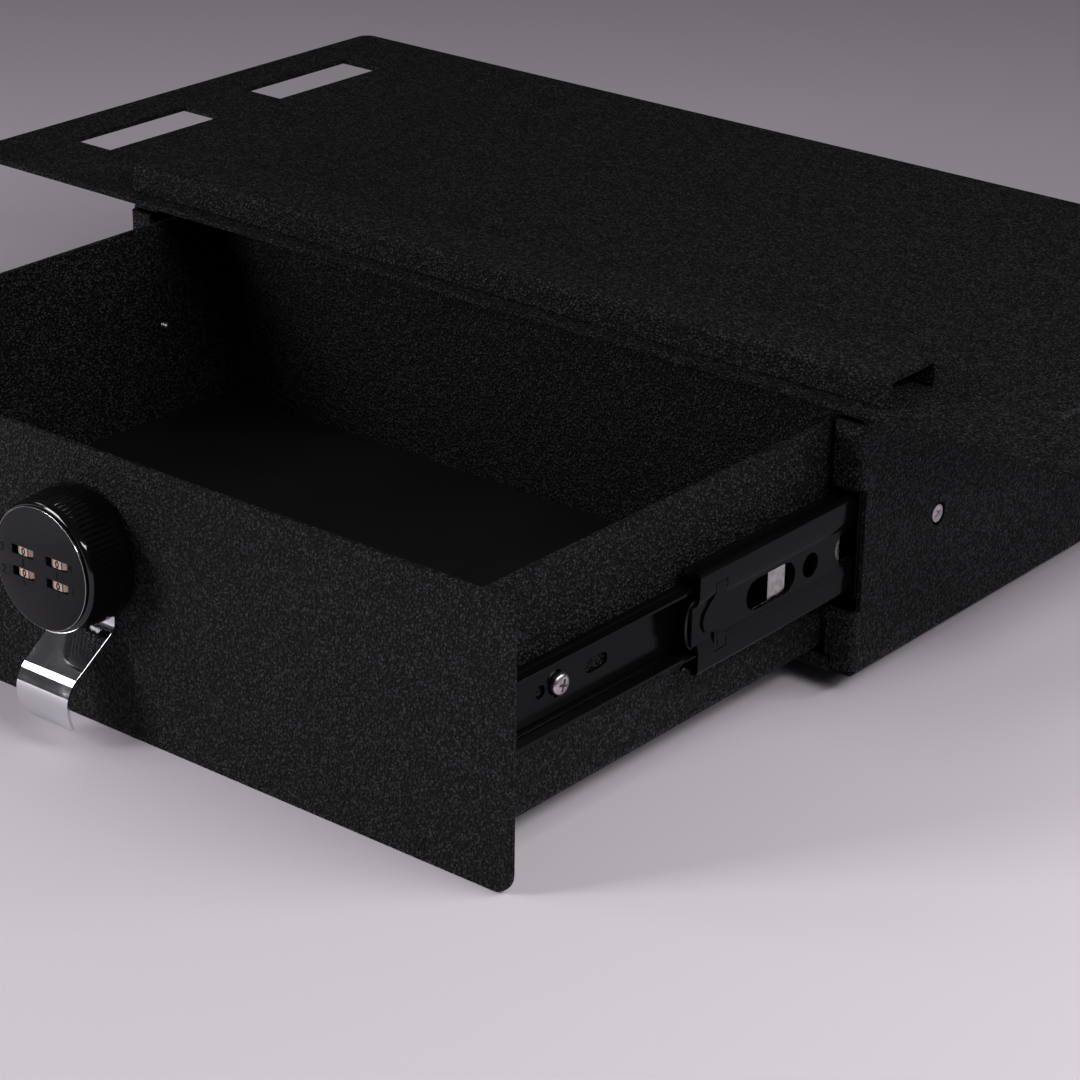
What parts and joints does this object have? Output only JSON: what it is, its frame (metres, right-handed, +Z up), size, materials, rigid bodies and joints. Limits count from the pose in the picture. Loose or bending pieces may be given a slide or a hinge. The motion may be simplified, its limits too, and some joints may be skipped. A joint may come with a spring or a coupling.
{
  "type": "vehicle drawer safe",
  "caption": "Shallow steel drawer safe under a slotted mounting plate, with ball-bearing slides, a round number lock and a bent pull tab.",
  "frame": {"origin": "centre of the housing's bottom face", "axes": "+X to the right seen from the front, +Y to the rear, +Z up; the drawer opens along -Y"},
  "size_m": [0.58, 0.4825, 0.1278],
  "materials": {
    "powder_coat": "black wrinkle powder coat on sheet steel",
    "black_steel": "smooth black plated sheet steel",
    "black_nylon": "black nylon",
    "bright_zinc": "bright zinc-plated steel",
    "chrome_plate": "polished chrome plate",
    "gloss_black": "gloss black enamel on die-cast zinc",
    "satin_grey": "satin dark grey face",
    "cream_plastic": "cream wheel with dark digits",
    "floor_mat": "smooth dark mat"
  },
  "bodies": {
    "housing": {"housing_shell": "powder_coat", "housing_rear_panel": "powder_coat", "top_plate": "powder_coat", "top_channel": "powder_coat", "slide_outer_left": "black_steel", "slide_outer_right": "black_steel", "housing_screw_front_left": "bright_zinc", "housing_screw_rear_left": "bright_zinc", "housing_screw_front_right": "bright_zinc", "housing_screw_rear_right": "bright_zinc"},
    "drawer": {"drawer_tray": "powder_coat", "drawer_front": "powder_coat", "floor_liner": "floor_mat", "pull_tab": "chrome_plate", "lock_barrel": "black_steel", "lock_nut": "bright_zinc", "slide_inner_left": "black_steel", "slide_inner_right": "black_steel", "drawer_screw_front_left": "bright_zinc", "drawer_screw_rear_left": "bright_zinc", "drawer_screw_front_right": "bright_zinc", "drawer_screw_rear_right": "bright_zinc"},
    "knob": {"knob_body": "gloss_black", "knob_face": "satin_grey", "wheel_frame": "black_steel", "wheel_axle_left": "bright_zinc", "wheel_axle_right": "bright_zinc", "lock_spindle": "bright_zinc", "lock_cam": "bright_zinc", "cam_screw": "bright_zinc"},
    "slide_middle_left": {"slide_mid_left": "black_steel", "mid_clip_left": "black_steel", "mid_bumper_left": "black_nylon"},
    "outer_cage_left": {"ball_cage_outer_left": "bright_zinc"},
    "inner_cage_left": {"ball_cage_inner_left": "bright_zinc"},
    "slide_middle_right": {"slide_mid_right": "black_steel", "mid_clip_right": "black_steel", "mid_bumper_right": "black_nylon"},
    "outer_cage_right": {"ball_cage_outer_right": "bright_zinc"},
    "inner_cage_right": {"ball_cage_inner_right": "bright_zinc"},
    "wheel_1": {"number_wheel_1": "cream_plastic"},
    "wheel_2": {"number_wheel_2": "cream_plastic"},
    "wheel_3": {"number_wheel_3": "cream_plastic"},
    "wheel_4": {"number_wheel_4": "cream_plastic"}
  },
  "joints": [
    {"name": "drawer_slide", "type": "slide", "parent": "housing", "child": "drawer", "axis": [0, -1, 0], "range_m": [-0.1915, 0.0585]},
    {"name": "mid_slide_left_run", "type": "slide", "parent": "housing", "child": "slide_middle_left", "axis": [0, -1, 0], "range_m": [-0.09575, 0.02925]},
    {"name": "outer_cage_left_run", "type": "slide", "parent": "housing", "child": "outer_cage_left", "axis": [0, -1, 0], "range_m": [-0.04788, 0.01463]},
    {"name": "inner_cage_left_run", "type": "slide", "parent": "housing", "child": "inner_cage_left", "axis": [0, -1, 0], "range_m": [-0.14363, 0.04387]},
    {"name": "mid_slide_right_run", "type": "slide", "parent": "housing", "child": "slide_middle_right", "axis": [0, -1, 0], "range_m": [-0.09575, 0.02925]},
    {"name": "outer_cage_right_run", "type": "slide", "parent": "housing", "child": "outer_cage_right", "axis": [0, -1, 0], "range_m": [-0.04788, 0.01463]},
    {"name": "inner_cage_right_run", "type": "slide", "parent": "housing", "child": "inner_cage_right", "axis": [0, -1, 0], "range_m": [-0.14363, 0.04387]},
    {"name": "knob_turn", "type": "hinge", "parent": "drawer", "child": "knob", "pos_m": [-0.0114, -0.3225, 0.0605], "axis": [0, 1, 0], "range_deg": [0, 90]},
    {"name": "wheel_1_turn", "type": "hinge", "parent": "knob", "child": "wheel_1", "pos_m": [-0.02005, -0.3383, 0.0647], "axis": [0, 0, 1], "continuous": true},
    {"name": "wheel_2_turn", "type": "hinge", "parent": "knob", "child": "wheel_2", "pos_m": [-0.00275, -0.3383, 0.0647], "axis": [0, 0, 1], "continuous": true},
    {"name": "wheel_3_turn", "type": "hinge", "parent": "knob", "child": "wheel_3", "pos_m": [-0.02005, -0.3383, 0.0563], "axis": [0, 0, 1], "continuous": true},
    {"name": "wheel_4_turn", "type": "hinge", "parent": "knob", "child": "wheel_4", "pos_m": [-0.00275, -0.3383, 0.0563], "axis": [0, 0, 1], "continuous": true}
  ],
  "couplings": [
    {"joint": "mid_slide_left_run", "follows": "drawer_slide", "ratio": 0.5},
    {"joint": "outer_cage_left_run", "follows": "drawer_slide", "ratio": 0.25},
    {"joint": "inner_cage_left_run", "follows": "drawer_slide", "ratio": 0.75},
    {"joint": "mid_slide_right_run", "follows": "drawer_slide", "ratio": 0.5},
    {"joint": "outer_cage_right_run", "follows": "drawer_slide", "ratio": 0.25},
    {"joint": "inner_cage_right_run", "follows": "drawer_slide", "ratio": 0.75}
  ]
}
